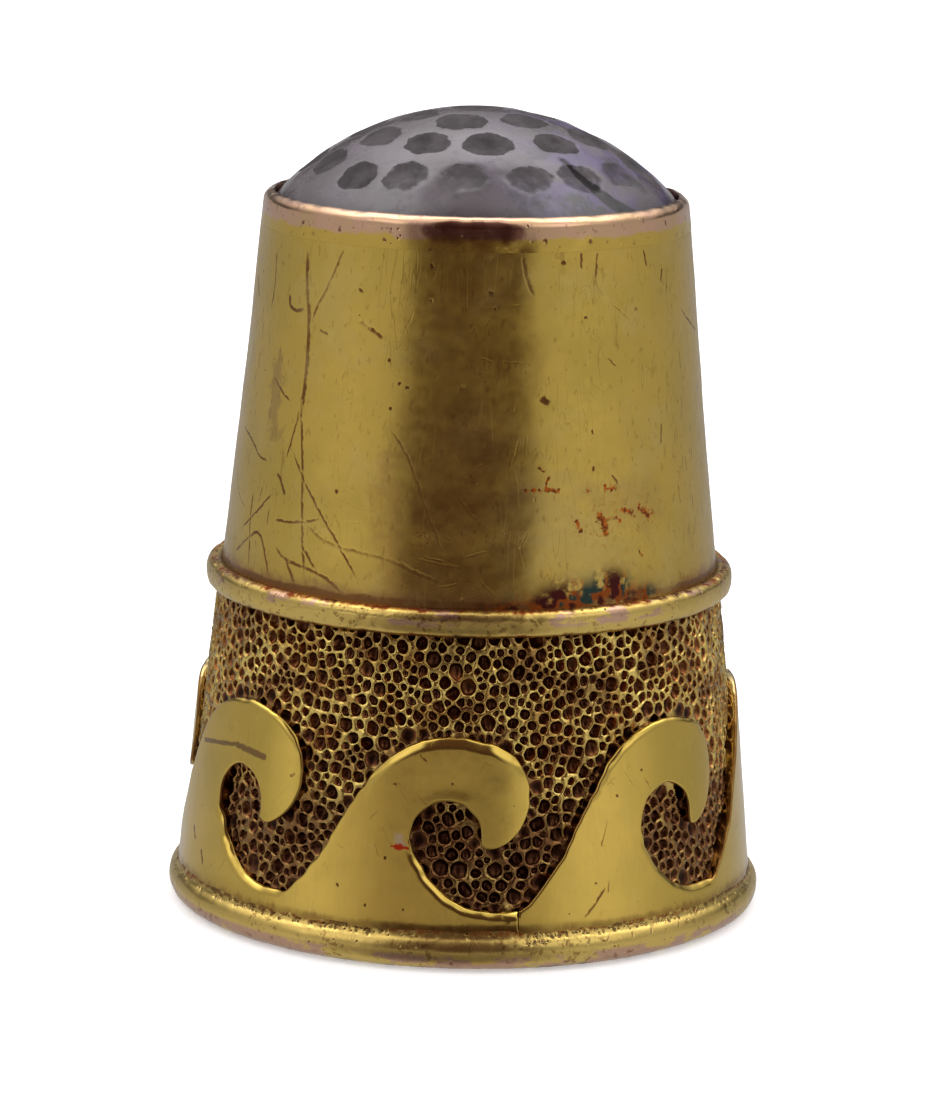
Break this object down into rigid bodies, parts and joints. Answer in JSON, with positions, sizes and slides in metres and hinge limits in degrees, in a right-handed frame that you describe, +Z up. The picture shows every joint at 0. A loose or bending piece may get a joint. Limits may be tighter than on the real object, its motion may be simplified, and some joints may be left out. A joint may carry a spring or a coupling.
{
  "type": "sewing thimble",
  "caption": "Tapered gold sewing thimble with a punched band, an applied running-wave border, rolled beads and a dimpled domed stone set in a rubbed-over collar.",
  "frame": {"origin": "on the thimble's axis, at the level of the foot bead's underside", "axes": "+Z up along the axis from the open foot to the stone; the pictured front faces -Y"},
  "size_m": [0.017, 0.017, 0.0227],
  "materials": {
    "yellow_gold": "satin, fine scratches",
    "punched_gold": "punched, dark patina in the pits",
    "rose_gold": "satin, worn",
    "amethyst": "polished, dimpled",
    "setting_cement": "dull"
  },
  "bodies": {
    "root": {"foot_bead": "yellow_gold", "stippled_band": "punched_gold", "wave_frieze": "yellow_gold", "upper_bead": "yellow_gold", "body_sleeve": "yellow_gold", "stone_seat": "yellow_gold", "cement_bed": "setting_cement", "bezel_collar": "rose_gold", "amethyst_dome": "amethyst"}
  },
  "joints": []
}
